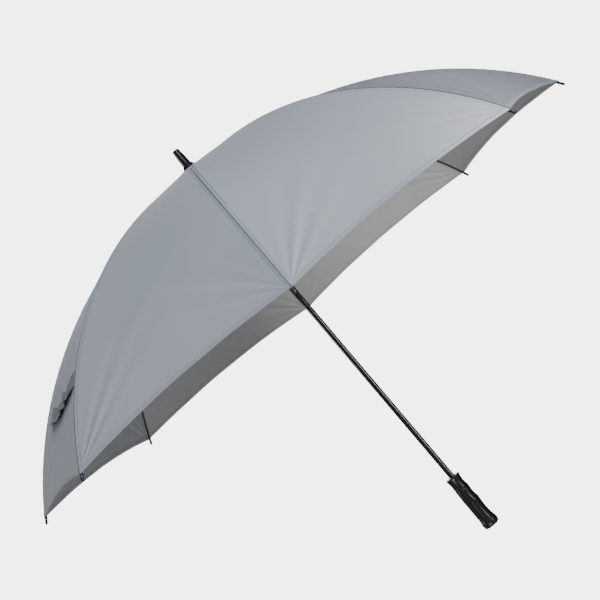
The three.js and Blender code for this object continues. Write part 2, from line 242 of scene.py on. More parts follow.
def plate(shape, outline, hole, half, place, bevel=0.25):
    """A flat plate in the XZ plane with a hole about the origin. Outline and hole have the same point count."""
    outline, hole = np.asarray(outline, float), np.asarray(hole, float)
    inward = outline * (1 - bevel / np.maximum(np.linalg.norm(outline, axis=1, keepdims=True), 1))
    rings = [(hole, -half), (inward, -half), (outline, -half + bevel), (outline, half - bevel), (inward, half),
             (hole, half), (hole, -half)]
    points = np.array([[(x, y, z) for x, z in ring_points] for ring_points, y in rings])
    return shape.grid(place(points), wrap=True)


def eye_outline(radius, reach, half_height):
    """A round eye with a tongue along +X."""
    points = []
    for x, z in (polar(1, angle) for angle in EYE_ANGLES):
        scale = max(radius, min(reach / x, half_height / max(abs(z), 1e-6))) if x > 0.45 else radius
        points.append((scale * x, scale * z))
    return points


def eye_hole(radius):
    return [polar(radius, angle) for angle in EYE_ANGLES]


# ---- Materials ----
WEAVE_SCALE, SLUB_SCALE = 260.0, (1400, 120, 1)


class Nodes:
    """A short way to write a material's node tree."""

    def __init__(self, name):
        self.material = bpy.data.materials.new(name)
        self.material.use_nodes = True
        self.tree = self.material.node_tree
        self.tree.nodes.clear()

    def node(self, kind, **settings):
        made = self.tree.nodes.new(kind)
        for key, value in settings.items():
            setattr(made, key, value)
        return made

    def link(self, value, socket):
        if isinstance(value, bpy.types.NodeSocket):
            self.tree.links.new(value, socket)
        else:
            socket.default_value = value

    def noise(self, vector, scale, detail=4.0, roughness=0.55):
        made = self.node("ShaderNodeTexNoise")
        self.link(vector, made.inputs["Vector"])
        self.link(scale, made.inputs["Scale"])
        self.link(detail, made.inputs["Detail"])
        self.link(roughness, made.inputs["Roughness"])
        return made.outputs["Fac"]

    def math(self, operation, a, b):
        made = self.node("ShaderNodeMath", operation=operation)
        self.link(a, made.inputs[0])
        self.link(b, made.inputs[1])
        return made.outputs[0]

    def span(self, value, low, high, start=0.0, end=1.0):
        """value, from start to end, mapped to low to high."""
        made = self.node("ShaderNodeMapRange")
        self.link(value, made.inputs["Value"])
        for name, number in (("From Min", start), ("From Max", end), ("To Min", low), ("To Max", high)):
            made.inputs[name].default_value = number
        return made.outputs["Result"]

    def tint(self, factor, first, second, clamp=True):
        """Mixes two colours, each a tuple or a socket."""
        made = self.node("ShaderNodeMix", data_type="RGBA", clamp_factor=clamp)
        self.link(factor, made.inputs["Factor"])
        for colour, socket in ((first, made.inputs[6]), (second, made.inputs[7])):
            self.link(colour if isinstance(colour, bpy.types.NodeSocket) else (*colour, 1), socket)
        return made.outputs[2]

    def bump(self, height, strength, distance, normal=None):
        made = self.node("ShaderNodeBump")
        self.link(height, made.inputs["Height"])
        made.inputs["Strength"].default_value = strength
        made.inputs["Distance"].default_value = distance
        if normal is not None:
            self.link(normal, made.inputs["Normal"])
        return made.outputs["Normal"]

    def surface(self, **inputs):
        made = self.node("ShaderNodeBsdfPrincipled")
        for key, value in inputs.items():
            self.link(value, made.inputs[key.replace("_", " ")])
        return made.outputs[0]

    def finish(self, shader):
        output = self.node("ShaderNodeOutputMaterial")
        self.link(shader, output.inputs["Surface"])
        return self.material


def cloth_material(name, light, dark, through):
    """Plain-woven coated cloth: threads along the panel's own length and width, faint slubs, soft creases."""
    n = Nodes(name)
    flat = n.node("ShaderNodeUVMap", uv_map="flat").outputs["UV"]
    solid = n.node("ShaderNodeTexCoord").outputs["Object"]
    threads = []
    for direction in ("X", "Y"):
        wave = n.node("ShaderNodeTexWave", wave_type="BANDS", bands_direction=direction, wave_profile="SIN")
        n.link(flat, wave.inputs["Vector"])
        n.link(WEAVE_SCALE, wave.inputs["Scale"])
        n.link(0.4, wave.inputs["Distortion"])
        threads.append(wave.outputs["Fac"])
    weave = n.math("MULTIPLY", threads[0], threads[1])
    long = n.node("ShaderNodeMapping")
    n.link(flat, long.inputs["Vector"])
    long.inputs["Scale"].default_value = SLUB_SCALE
    slub = n.noise(long.outputs["Vector"], 1.0, 2.0)
    cloud = n.noise(solid, 7.0, 5.0, 0.6)
    crease = n.noise(solid, 26.0, 3.0, 0.5)
    mixed = n.math("ADD", n.math("MULTIPLY", cloud, 0.55), n.math("MULTIPLY", slub, 0.3))
    mixed = n.math("ADD", mixed, n.math("MULTIPLY", weave, 0.15))
    # The tone attribute adds painted shade in the seams and stitch lines, painted highlights and shade along the
    # tip creases, and each panel's tone, with painted shade on panel 8.
    mixed = n.math("ADD", mixed, n.node("ShaderNodeAttribute", attribute_name="tone").outputs["Fac"])
    colour = n.tint(mixed, dark, light, clamp=False)
    normal = n.bump(weave, 0.25, 0.00015)
    normal = n.bump(slub, 0.12, 0.0002, normal)
    normal = n.bump(crease, 0.16, 0.004, normal)
    front = n.surface(
        Base_Color=colour, Roughness=n.span(slub, 0.5, 0.66), Normal=normal, Sheen_Weight=0.1, Sheen_Roughness=0.4,
        Specular_IOR_Level=0.35,
    )
    glow = n.node("ShaderNodeBsdfTranslucent")
    n.link(colour, glow.inputs["Color"])
    mix = n.node("ShaderNodeMixShader")
    n.link(through, mix.inputs[0])
    n.link(front, mix.inputs[1])
    n.link(glow.outputs[0], mix.inputs[2])
    return n.finish(mix.outputs[0])


def hard_material(
    name, light, dark, rough, metallic=0.0, grain=90.0, bump=0.05, coat=0.0, wear=0.0, coat_ior=1.5,
):
    """Moulded plastic, rubber or painted metal: fine grain, smudges in the gloss and rubbed edges."""
    n = Nodes(name)
    solid = n.node("ShaderNodeTexCoord").outputs["Object"]
    fine = n.noise(solid, grain * 10, 3.0)
    smudge = n.noise(solid, grain / 3, 6.0, 0.65)
    colour = n.tint(smudge, dark, light)
    if wear:
        edge = n.node("ShaderNodeNewGeometry").outputs["Pointiness"]
        rubbed = n.math("MULTIPLY", n.span(edge, 0.0, 1.0, 0.53, 0.62), wear)
        colour = n.tint(rubbed, colour, [min(1, 0.12 + 2 * c) for c in light])
    return n.finish(n.surface(
        Base_Color=colour, Roughness=n.span(smudge, rough * 0.8, rough * 1.2), Metallic=metallic,
        Normal=n.bump(fine, bump, 0.0004), Coat_Weight=coat, Coat_Roughness=0.12, Coat_IOR=coat_ior,
    ))


def grey(value):
    return (value, value, value)


CLOTH = cloth_material("canopy_cloth_out", (0.36, 0.375, 0.4), (0.3, 0.315, 0.34), 0.06)
# The inside's copy of the same cloth is darker than the outside's: painted shade under the canopy.
CLOTH_IN = cloth_material("canopy_cloth_in", (0.32, 0.32, 0.325), (0.265, 0.265, 0.27), 0.06)
STRAP = cloth_material("strap_cloth", (0.18, 0.19, 0.188), (0.07, 0.075, 0.076), 0.0)
THREAD = hard_material("thread", (0.1, 0.105, 0.115), (0.05, 0.055, 0.06), 0.75, bump=0.5)
SHAFT = hard_material("shaft_black", grey(0.008), grey(0.004), 0.3, coat=1.0, bump=0.0, coat_ior=2.0)
FRAME_STEEL = hard_material("blackened_steel", grey(0.014), grey(0.008), 0.36, metallic=0.2, bump=0.02, wear=0.12)
ROD = hard_material("rod_black", grey(0.01), grey(0.005), 0.4, bump=0.02)
PLASTIC = hard_material("black_plastic", grey(0.012), grey(0.008), 0.4, bump=0.03, wear=0.04)
GLOSS = hard_material("ferrule_black", grey(0.006), grey(0.004), 0.3, coat=0.1, bump=0.0)
RUBBER = hard_material("grip_black", grey(0.012), grey(0.008), 0.36, coat=0.3, bump=0.03, grain=60.0)
BRIGHT = hard_material("spring_wire", grey(0.62), grey(0.48), 0.24, metallic=1.0)
RIVET = hard_material("rivet_steel", grey(0.5), grey(0.38), 0.3, metallic=1.0, wear=0.3)


def put(piece, body, slot, *nodes):
    if nodes:
        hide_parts(*nodes)
    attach(piece, body)
    return piece


# ---- Cloth ----
def chord(s):
    """The gore's width between its two ribs."""
    return 2 * rib(s, CLOTH_LIFT)[0] * math.sin(STEP / 2)


def peak(s):
    return PEAK_RISE * np.clip(1 - s / PEAK_REACH, 0, None) ** 2


def edge_length(u):
    """Where the hem is, along the ribs' length: cut back between the tips."""
    return CLOTH_END - HEM_RISE * 4 * u * (1 - u)


def far_edge(u, to_hem):
    return edge_length(u) if to_hem else np.full_like(u, JOINT_AT)


def seams(k, u, s):
    """For each seam beside gore k: the distance from it, and its rib."""
    width = chord(s)
    return (u * width, k), ((1 - u) * width, k % 8 + 1)


def tip_crease(d, s, end):
    """Creases fanning out from a rib's tip, from -1 to 1; d is the distance from the seam."""
    away = np.maximum(CLOTH_END - s, 0)
    from_tip = np.hypot(away, d)
    fan = np.arctan2(d, away + 1e-6)
    fade = np.exp(-from_tip / 78) * (1 - bell(from_tip, 0, 12)) * bell(fan, 0.72, 0.32)
    return fade * np.sin(19 * fan + 0.9 * end)


def relief(k, u, s):
    """How far the cloth stands off the plane between two ribs: a faint sag, waves, puckers, hem, seams, creases."""
    middle = np.sin(math.pi * np.clip(u, 0, 1))
    below = np.maximum(edge_length(u) - s, 0)
    height = -1.6 * 4 * u * (1 - u) * np.clip(s / CLOTH_END, 0, 1)
    height = height + 0.5 * middle * np.sin(s / 71 + 1.9 * k) * np.sin(5.1 * u + k)
    height = height + 0.7 * middle * np.exp(-np.maximum(s, 0) / 55) * np.sin(u * math.pi * 5)
    height = height + 0.55 * middle * np.exp(-below / 30) * np.sin(u * math.pi * (6 + k % 3) + k)
    for d, end in seams(k, u, s):
        pucker = np.sin(s / 3.4 + 2.3 * end + np.sin(s / 23))
        height = height - 0.6 * bell(d, 0, 0.9) + 0.45 * bell(d, 2, 1.1)
        height = height - 0.6 * bell(d, SEAM_STITCH, 1.4)
        height = height + 0.3 * bell(d, 7, 6) * pucker * np.clip(d / 3, 0, 1)
        height = height + (1.8 if end == k else 0.6) * tip_crease(d, s, end)
    return height


def shade(k, u, s):
    """The cloth's colour tone: painted shade in the seams and along the stitch lines, painted highlights and shade
    along the creases at the tips, over each panel's tone.
    """
    value = PANEL_TONE_AND_SHADE[k - 1] + 0.4 * np.sin(s / 90 + k) * np.sin(math.pi * u)
    for d, end in seams(k, u, s):
        fold_shadow = 3.4 * bell(s, 0, 420) if end == k else 0.0
        # Painted shade: darker in each seam and along its stitch line, with a painted shadow of the seam's fold
        # beside the stitches on rib k's side, strongest near the crown.
        value = value - 4.2 * bell(d, 0, 1.6) - (0.7 + fold_shadow) * bell(d, SEAM_STITCH, 1.6)
        # Painted highlights and shade in bands along the creases that fan from the tip, strongest on rib k's side.
        value = value + (4.2 if end == k else 1.3) * tip_crease(d, s, end)
    return value


def cloth_point(k, u, s, lift=0.0):
    """A point on the gore between rib k and the next."""
    u, s = np.broadcast_arrays(np.asarray(u, float), np.asarray(s, float))
    r, z = rib(s, CLOTH_LIFT)
    a, b, m = azimuth(k), azimuth(k + 1), azimuth(k + 0.5)
    x = r * (math.cos(a) * (1 - u) + math.cos(b) * u)
    y = r * (math.sin(a) * (1 - u) + math.sin(b) * u)
    tilt = np.arctan2(np.sin(slope(s)), np.cos(slope(s)) * C22)
    off = lift + relief(k, u, s)
    out = off * np.sin(tilt)
    return np.stack([x + out * math.cos(m), y + out * math.sin(m), z + peak(s) + off * np.cos(tilt)], axis=-1)


HALF_COLUMNS = [
    0, 0.0014, 0.003, 0.005, 0.0073, 0.01, 0.0135, 0.018, 0.024, 0.032, 0.041, 0.051, 0.062, 0.074, 0.087, 0.101,
    0.117, 0.135, 0.155, 0.178, 0.205, 0.24, 0.28, 0.32, 0.36, 0.4, 0.45,
]
COLUMNS = np.array([*HALF_COLUMNS, 0.5, *[1 - c for c in reversed(HALF_COLUMNS)]])


def stitches(shape, centres, towards, normals, number, length=2.9):
    """A row of stitches, each a small lens of thread lying along `towards`."""
    width, height = 0.4, 0.26
    t = towards / np.linalg.norm(towards, axis=1, keepdims=True)
    n = normals / np.linalg.norm(normals, axis=1, keepdims=True)
    b = np.cross(t, n)
    faces = [(0, 2, 4), (2, 1, 4), (1, 3, 4), (3, 0, 4), (2, 0, 5), (1, 2, 5), (3, 1, 5), (0, 3, 5)]
    for c, along, across, up in zip(centres, t, b, n):
        ends = [c - along * length / 2, c + along * length / 2]
        shape.add([*ends, c + across * width, c - across * width, c + up * height, c - up * height], faces, number)


def stitch_line(shape, k, u, s, lift, along_s):
    """Stitches on the gore at the points (u, s); along_s says which way they run."""
    here = cloth_point(k, u, s, lift)
    if along_s:
        ahead = cloth_point(k, u, s + 1, lift)
    else:
        ahead = cloth_point(k, u + 0.002, edge_length(u + 0.002) - edge_length(u) + s, lift)
    above = cloth_point(k, u, s, lift + math.copysign(1, lift))
    stitches(shape, here, ahead - here, above - here, 2)


def join_edges(shape, upper, lower, uv, flip=False):
    """Closes the gap between two layers, all round their edge."""
    for row in (0, -1):
        pair = np.stack([upper[row], lower[row]], axis=0)
        shape.grid(pair, flip=(row == 0) != flip, uv=np.stack([uv[row], uv[row]], axis=0))
    for column in (0, -1):
        pair = np.stack([upper[:, column], lower[:, column]], axis=0)
        shape.grid(pair, flip=(column == -1) != flip, uv=np.stack([uv[:, column], uv[:, column]], axis=0))


def gore(k, start, rows, to_hem):
    """One panel of cloth: two close layers joined round the edge, with a stitch line beside each seam."""
    u = COLUMNS[None, :]
    t = 1 - np.linspace(1, 0, rows)[:, None] ** (1.6 if to_hem else 1)
    s = start + (far_edge(u, to_hem) - start) * t
    u = np.broadcast_to(u, s.shape)
    uv = np.stack([(u - 0.5) * chord(s), s], axis=-1)
    outer, inner = cloth_point(k, u, s, CLOTH_HALF), cloth_point(k, u, s, -CLOTH_HALF)
    tone = shade(k, u, s)
    shape = Shape().grid(outer, 0, uv=uv, tone=tone).grid(inner, 1, flip=True, uv=uv, tone=0.5 * tone)
    join_edges(shape, outer, inner, uv)
    marks = np.arange(max(start, 40) + 2, CLOTH_END - 10 if to_hem else JOINT_AT - 2, STITCH_PITCH)
    beside = SEAM_STITCH / chord(marks)
    for edge in (beside, 1 - beside):
        stitch_line(shape, k, edge, marks, 0.36, True)
    return shape


def hem(k):
    """The hem, folded over the panel's edge and sewn down."""
    section = [(-9, 0.3), (-8.6, 0.62), (-6, 0.55), (0.2, 0.68), (0.8, 0), (0.2, -0.68), (-6, -0.55),
               (-8.6, -0.62), (-9, -0.3)]
    u = np.linspace(0.004, 0.996, 110)
    rings = np.stack([cloth_point(k, u, edge_length(u) + a, lift) for a, lift in section], axis=1)
    uv = np.stack([np.stack([u * HEM_WIDTH, np.full_like(u, a)], axis=-1) for a, _ in section], axis=1)
    shape = Shape()
    for part, number in ((slice(0, 5), 0), (slice(4, 9), 1), ([8, 0], 1)):
        shape.grid(rings[:, part], number, flip=True, uv=uv[:, part])
    marks = np.linspace(0.008, 0.992, 134)
    for lift in (0.6, -0.6):
        stitch_line(shape, k, marks, edge_length(marks) - 6, lift, False)
    return shape


def flatten(piece):
    """Gives a cloth piece its own copy of its mesh."""
    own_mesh(piece)


def add_canopy():
    layers = [CLOTH, CLOTH_IN, THREAD]
    for k in RIBS:
        inner = gore(k, CLOTH_START, 66, False).build(f"canopy_gore_{k}_top", layers, CLOTH_SMOOTH)
        put(inner, f"panel_inner_{k}", "canopy_cloth", f"panel_inner_{k}")
        edge = hem(k).build(f"canopy_hem_{k}", layers, CLOTH_SMOOTH)
        put(edge, f"panel_outer_{k}", "canopy_cloth")
        outer = gore(k, JOINT_AT, 82, True).build(f"canopy_gore_{k}_rim", layers, CLOTH_SMOOTH)
        put(outer, f"panel_outer_{k}", "canopy_cloth", f"panel_outer_{k}")
        flatten(inner)
        flatten(edge)
        flatten(outer)


def seam_tape(k, start, end):
    """The turned-in seam allowance under the join of two gores: a strip that slopes away on both sides."""
    s = np.linspace(start, end, int((end - start) / 8))
    r, z = rib(s, TAPE_LIFT)
    a = slope(s)
    rings = []
    section = [(-TAPE_HALF, 0.2), (0, 0.22), (TAPE_HALF, 0.2), (TAPE_HALF, -0.2), (0, -0.22), (-TAPE_HALF, -0.2)]
    for across, up in section:
        width = np.minimum(abs(across), 0.3 * r) * math.copysign(1, across)
        back = np.abs(width) * math.sin(STEP / 2)
        rings.append(np.stack([r - back + up * np.sin(a), width * C22, z + up * np.cos(a)], axis=-1))
    rings = np.stack(rings, axis=1)
    rings[..., 2] += peak(s)[:, None]
    uv = np.stack([np.stack([np.full_like(s, across), s], axis=-1) for across, _ in section], axis=1)
    return Shape().loft(turned(rings, azimuth(k)), uv=uv)


def add_tapes():
    parts = (("top", TAPE_START, JOINT_AT, "rib_inner"), ("rim", JOINT_AT + 5, CLOTH_END - 4, "rib_outer"))
    for k in RIBS:
        for part, start, end, body in parts:
            tape = seam_tape(k, start, end).build(f"seam_tape_{k}_{part}", [CLOTH_IN], CLOTH_SMOOTH)
            put(tape, f"{body}_{k}", "canopy_cloth")
            flatten(tape)


# ---- Tie strap ----
def add_strap():
    """A doubled strap sewn to the seam over rib 6, lying loose and crumpled on the panel towards rib 5."""
    t = np.linspace(0, 1, 90)[:, None]  # along the strap, from the seam; w is across it
    w = np.linspace(-1, 1, 14)[None, :]
    u = 0.985 - 0.7 * t - 0.012 * w * np.sin(9 * t)
    half = STRAP_HALF + 1.6 * np.sin(14 * t + 1)
    s = STRAP_AT + 20 * np.sin(math.pi * t * 0.8) + w * half + 2.5 * np.sin(11 * t)
    crumple = 1.6 * np.sin(23 * t + 2.6 * w) + 1.3 * np.sin(37 * t - 3.4 * w + 1) + 0.7 * np.sin(61 * t + 5 * w)
    loose = np.sin(math.pi * np.clip(t * 0.9 + 0.08, 0, 1))
    lift = 3.6 + 2.4 * np.clip(w, 0, 1) ** 2 + np.maximum(crumple, -2.4) * loose
    lift = 0.9 + (lift - 0.9) * np.clip(t / 0.08, 0, 1)
    u, s, lift = np.broadcast_arrays(u, s, lift)
    uv = np.stack([u * STRAP_GORE, s], axis=-1)
    upper, lower, above = (cloth_point(5, u, s, lift + more) for more in (0.55, -0.45, 1.6))
    shape = Shape().grid(upper, flip=True, uv=uv).grid(lower, uv=uv)
    join_edges(shape, upper, lower, uv, flip=True)
    for column in (1, -2):
        centres = upper[2:-2, column]
        stitches(shape, centres, np.gradient(centres, axis=0), above[2:-2, column] - centres, 1, length=1.9)
    strap = shape.build("tie_strap_cloth", [STRAP, THREAD], CLOTH_SMOOTH)
    put(strap, "panel_outer_5", "strap_cloth", "tie_strap")
    flatten(strap)


# ---- Ribs, stretchers ----
def rivet(z, radius, half, head, place):
    """A rivet along Y with domed heads."""
    side = [(radius, half), (radius * 1.7, half), (radius * 1.7, half + head * 0.2),
            (radius * 1.1, half + head * 0.8), (0, half + head)]
    profile = [(r, -y) for r, y in reversed(side)] + side
    return revolve(Shape(), profile, 20, lambda p: place(np.stack([p[..., 0], p[..., 2], z - p[..., 1]], axis=-1)))


def add_rib(k):
    angle = azimuth(k)
    root = lambda p: turned(tilted(p, ROOT_SLOPE, (HINGE_R, CROWN_Z)), angle)
    at_joint = lambda p: turned(tilted(p, JOINT_SLOPE, JOINT), angle)
    inner = sweep(Shape(), np.linspace(10, JOINT_AT - 1.5, 48), 2.0, angle)
    plate(inner, eye_outline(2.7, 14, 1.5), eye_hole(0.95), 1.2, root)
    put(inner.build(f"inner_rib_{k}", [FRAME_STEEL]), f"rib_inner_{k}", "blackened_steel", f"rib_inner_{k}")

    sleeve = [(2.05, -16), (2.6, -16), (3.1, -15.2), (3.1, -5), (2.7, -4.2), (2.05, -4.2), (2.05, -16)]
    flat_top = lambda p: at_joint(np.minimum(lying(p), (np.inf, np.inf, 2.05)))
    clamp = revolve(Shape(), sleeve, 32, flat_top)
    ear = [(3.6, 0), (3.0, 2.4), (1.2, 5.2), (-1.5, 7.2), (-5, 7.4), (-9, 7), (-11.2, 5.5), (-11.2, 3), (-8, 1.2),
           (-4.5, -1.8), (-1.6, -3.1), (1.6, -2.9)]
    hole = [polar(1.25, math.atan2(z, x)) for x, z in ear]
    for side in (-1, 1):
        beside = lambda p, side=side: at_joint(p + np.array([0, side * 2.9, -PIVOT_DROP]))
        plate(clamp, ear, hole, 0.5, beside, 0.12)
    put(clamp.build(f"rib_clamp_{k}", [PLASTIC]), f"rib_inner_{k}", "blackened_steel", f"rib_inner_{k}")
    clamp_rivet = rivet(-PIVOT_DROP, 1.15, 3.4, 0.5, at_joint)
    put(clamp_rivet.build(f"clamp_rivet_{k}", [RIVET]), f"rib_inner_{k}", "spring_wire")

    outer = sweep(Shape(), np.linspace(JOINT_AT + 1.5, ROD_END, 54), 1.95, angle)
    put(outer.build(f"outer_rib_{k}", [ROD]), f"rib_outer_{k}", "rod_black", f"rib_outer_{k}")

    at_tip = lambda p: turned(tilted(lying(p), ROD_TIP_SLOPE, ROD_TIP), angle)
    profile = [(2.05, -5), (2.6, -5), (2.85, -4.3), (2.85, -0.5), (2.5, 0.3), (2.5, 1.2), (2.85, 2), (2.8, 5),
               (2.6, 8.2), (2.1, 10.1), (1.2, 10.9), (0, 11.1)]
    tip = revolve(Shape(), profile, 28, at_tip)
    put(tip.build(f"tip_cap_{k}", [GLOSS]), f"rib_outer_{k}", "black_plastic", f"rib_tip_{k}")


def add_stretcher(k):
    """A U-shaped steel channel, pinched flat at each end round an eye."""
    place = lambda p: turned(tilted(p, STRETCHER_SLOPE, (HINGE_R, RUNNER_Z)), azimuth(k))
    section = [(-2.1, -2), (-2.1, 1.5), (-1.6, 2), (1.6, 2), (2.1, 1.5), (2.1, -2), (1.35, -2), (1.35, 1.1),
               (-1.35, 1.1), (-1.35, -2)]
    middle = [(x, 1, 1) for x in np.linspace(30, STRETCHER - 30, 12)]
    stations = [(13, 0.56, 0.7), (17, 0.7, 0.85), (22, 1, 1), *middle, (STRETCHER - 20, 1, 1),
                (STRETCHER - 15, 0.7, 0.85), (STRETCHER - 11, 0.56, 0.7)]
    rings = np.array([[(x, y * width, z * height) for y, z in section] for x, width, height in stations])
    shape = Shape().loft(place(rings))
    plate(shape, eye_outline(2.7, 15, 1.5), eye_hole(0.95), 1.15, place)
    far = lambda p: place(np.stack([STRETCHER - p[..., 0], -p[..., 1], p[..., 2]], axis=-1))
    plate(shape, eye_outline(2.8, 13, 1.5), eye_hole(1.55), 1.15, far)
    channel = shape.build(f"stretcher_channel_{k}", [FRAME_STEEL])
    put(channel, f"stretcher_{k}", "blackened_steel", f"stretcher_{k}")


# ---- Crown, runner, shaft ----
def slot_rings(profile):
    """Rings round a turned body that has a slot for each rib."""
    deep = math.asin(SLOT_HALF / SLOT_FLOOR)
    rings = []
    for radius, z in profile:
        edge = math.asin(SLOT_HALF / radius)
        points = []
        for start in (k * STEP for k in range(8)):
            points += [polar(SLOT_FLOOR, start - deep), polar(SLOT_FLOOR, start + deep)]
            points += [polar(radius, a) for a in np.linspace(start + edge, start + STEP - edge, 10)]
        rings.append([(x, y, z) for x, y in points])
    return np.array(rings)


def notched_body(profile):
    """A slotted body, closed down to its bore. The profile is (radius, z), outside, from the bottom to the top."""
    rings = slot_rings(profile)
    shape = Shape().grid(rings, wrap=True, flip=True)
    for outer_ring, flip in ((rings[0], True), (rings[-1], False)):
        angles = np.arctan2(outer_ring[:, 1], outer_ring[:, 0])
        bore = np.stack([NOTCH_BORE * np.cos(angles), NOTCH_BORE * np.sin(angles), outer_ring[:, 2]], axis=-1)
        shape.grid(np.stack([bore, outer_ring], axis=0), wrap=True, flip=flip)
    wall = [[(x, y, z) for x, y in ring(NOTCH_BORE, 48)] for z in (profile[0][1], profile[-1][1])]
    return shape.grid(np.array(wall), wrap=True)


def wire(z):
    """A hinge wire: a plain ring through the eyes."""
    around = 120
    rings = []
    for i in range(around + 1):
        a = 2 * math.pi * i / around
        rings.append([(*polar(HINGE_R + WIRE_R * c, a), z + WIRE_R * d) for c, d in ring(1, 10)])
    return Shape().grid(np.array(rings), wrap=True, flip=True)


def slotted_tube(slots):
    """The shaft, with slots cut through its wall at the catches' side. slots is a list of (low, high)."""
    half = math.asin(SLOT_HALF / SHAFT_R)
    left, right = CATCH_ANGLE - half, CATCH_ANGLE + half
    angles = [left, *np.linspace(right, left + 2 * math.pi, 64)[:-1]]
    heights = sorted({SHAFT_LOW, SHAFT_HIGH, *[z for slot in slots for z in slot]})
    walls, columns = (SHAFT_R, SHAFT_BORE), len(angles)
    shape = Shape()
    for wall, flip in zip(walls, (False, True)):
        points = [[(*polar(wall, a), z) for a in angles] for z in heights]
        faces = []
        for i in range(len(heights) - 1):
            middle = (heights[i] + heights[i + 1]) / 2
            is_slot = any(low < middle < high for low, high in slots)
            for j in range(is_slot, columns):
                a, b = i * columns + j, i * columns + (j + 1) % columns
                face = (a, b, b + columns, a + columns)
                faces.append(face[::-1] if flip else face)
        shape.add(points, faces)
    for low, high in slots:
        corners = [(left, low), (right, low), (right, high), (left, high)]
        loop = [[(*polar(wall, angle), z) for angle, z in corners] for wall in walls]
        shape.grid(np.array(loop), wrap=True, flip=True)
    for z, flip in ((SHAFT_LOW, False), (SHAFT_HIGH, True)):
        rims = [[(*polar(wall, a), z) for a in angles] for wall in walls]
        shape.grid(np.array(rims), wrap=True, flip=flip)
    return shape


# Each spring catch: its shoulder, which stops the runner, its pivot, and the way its ramp faces.
CATCHES = {
    "top": (RUNNER_Z - 37, RUNNER_Z - 67, 1),
    "bottom": (CLOSED_RUNNER_Z - 28.2, CLOSED_RUNNER_Z + 1.8, -1),
}


def add_catch(name):
    """A bent strip inside the tube, with a ramped nose through the slot."""
    shoulder, pivot, way = CATCHES[name]
    nose = [(CATCH_X, pivot), (4.2, pivot), (4.5, shoulder - way * 14), (6.4, shoulder - way * 9),
            (8.2, shoulder - way * 4), (8.75, shoulder - way * 2.2), (8.6, shoulder - way * 0.3), (8.2, shoulder),
            (CATCH_X, shoulder)]
    outline = nose if way > 0 else nose[::-1]
    rings = np.array([[(x, y, z) for x, z in outline] for y in (-1.1, -0.95, 0.95, 1.1)])
    rings[[0, 3], :, 0] = CATCH_X + (rings[[0, 3], :, 0] - CATCH_X) * 0.97
    piece = Shape().loft(turned(rings, CATCH_ANGLE)).build(f"{name}_catch_strip", [BRIGHT])
    put(piece, f"{name}_spring_catch", "spring_wire", f"{name}_spring_catch")


def add_middle():
    slots = [tuple(sorted((end + way * 1.5, end - way * 17))) for end, _, way in CATCHES.values()]
    shaft = slotted_tube(slots).build("shaft_tube", [SHAFT])
    put(shaft, "shaft_assembly", "shaft_black", "shaft")

    profile = [(8.9, -9), (9.4, -8.8), (14.6, -5.3), (15, -4.6), (15, 2.6), (14.6, 3.3), (13.4, 4.3), (12.8, 4.5)]
    crown = notched_body(raised(profile, CROWN_Z))
    put(crown.build("crown", [PLASTIC]), "shaft_assembly", "black_plastic", "crown_notch")
    put(wire(CROWN_Z).build("crown_hinge_wire", [BRIGHT]), "shaft_assembly", "spring_wire", "crown_wire")

    profile = [(11, -9.5), (11.4, -9), (14.6, -5.3), (15, -4.6), (15, 4.4), (14.6, 5.1), (9.4, 8.8), (8.9, 9)]
    body = [(6.4, -36), (12.6, -36), (13, -35.6), (13.4, -34.2), (13.4, -32.4), (12.8, -31), (11.3, -29.2),
            (11, -28.4), (11, -26), (10.7, -25.4), (11, -24.8), (11, -22), (10.7, -21.4), (11, -20.8), (11, -18),
            (10.7, -17.4), (11, -16.8), (11, -9.3), (6.4, -9.3), (6.4, -36)]
    runner = revolve(notched_body(raised(profile, RUNNER_Z)), raised(body, RUNNER_Z), 64)
    put(runner.build("runner_body", [PLASTIC]), "runner", "black_plastic", "runner")
    put(wire(RUNNER_Z).build("runner_hinge_wire", [BRIGHT]), "runner", "spring_wire", "runner_wire")
    for name in CATCHES:
        add_catch(name)


def add_ferrule():
    profile = raised([(6.4, 0), (9.0, 0), (9.05, 0.8), (8.9, 5), (8.65, 12), (8.1, 21), (7.5, 29), (7.0, 33.5)],
                     FERRULE_Z)
    profile += raised([(6.7, -1.4), (6.3, -0.5), (5.5, 0), (0, 0)], TOP_Z)
    ferrule = revolve(Shape(), profile, 64)
    put(ferrule.build("ferrule_cap", [GLOSS]), "shaft_assembly", "ferrule_black", "ferrule")
    collar = [(6.4, -2), (9.4, -2), (10.8, -5.2), (12.9, -5.4), (13.2, -5.0), (12.6, -4.0), (11.4, -2.4),
              (10.6, -1.0), (10.1, -0.2), (9.9, 0), (6.4, 0), (6.4, -2)]
    rain_cap = revolve(Shape(), raised(collar, FERRULE_Z - 0.4), 64)
    put(rain_cap.build("rain_cap_collar", [GLOSS]), "shaft_assembly", "ferrule_black", "rain_cap")


# ---- Handle ----
def groove(z, centre, half):
    return np.cos(math.pi / 2 * np.minimum(1, np.abs(z - centre) / half))


def grip_radius(z, angle):
    """The grip's radius: flared at both ends, with finger grooves on one side."""
    top_flare = 1.6 * bell(z, 120, 9)
    belly = 1.5 / (1 + np.exp((z - 88) / 5))
    end_flare = 1.5 * bell(z, 9, 8)
    fingers = np.maximum(0, np.cos(angle + 0.35))
    depth = groove(z, 104.5, 15) + 1.9 * groove(z, 75, 13.5) + 1.7 * groove(z, 37, 23)
    return 13.9 + top_flare + belly + end_flare - fingers * depth


